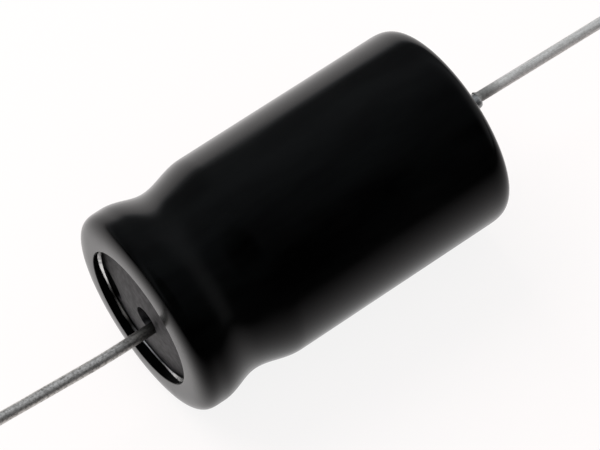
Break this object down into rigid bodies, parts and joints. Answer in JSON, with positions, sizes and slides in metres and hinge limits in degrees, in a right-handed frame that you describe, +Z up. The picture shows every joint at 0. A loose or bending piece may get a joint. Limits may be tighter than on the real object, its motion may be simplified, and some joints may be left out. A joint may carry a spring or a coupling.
{
  "type": "axial electrolytic capacitor",
  "caption": "Axial-lead aluminium electrolytic capacitor: black shrunk sleeve over a can with a rolled groove, recessed rubber seal and a straight wire lead from each end.",
  "frame": {"origin": "middle of the sleeved body on its axis, which is the centre of the whole part", "axes": "+X along the body from the rubber-sealed anode end to the closed cathode end, +Z up as it lies on its side"},
  "size_m": [0.1034, 0.016, 0.016],
  "materials": {
    "sleeve_plastic": "glossy black heat-shrunk sleeve",
    "can_aluminium": "impact-extruded, bright",
    "seal_rubber": "matt moulded",
    "stub_aluminium": "drawn",
    "tinned_wire": "dull hot-dip tin",
    "winding_paper": "electrolyte-soaked paper",
    "tape_plastic": "film"
  },
  "bodies": {
    "root": {"sleeve": "sleeve_plastic", "can": "can_aluminium", "end_seal": "seal_rubber", "anode_stub": "stub_aluminium", "anode_lead": "tinned_wire", "anode_tab": "stub_aluminium", "winding": "winding_paper", "winding_tape": "tape_plastic", "cathode_tab": "stub_aluminium", "cathode_stub": "stub_aluminium", "cathode_lead": "tinned_wire"}
  },
  "joints": []
}
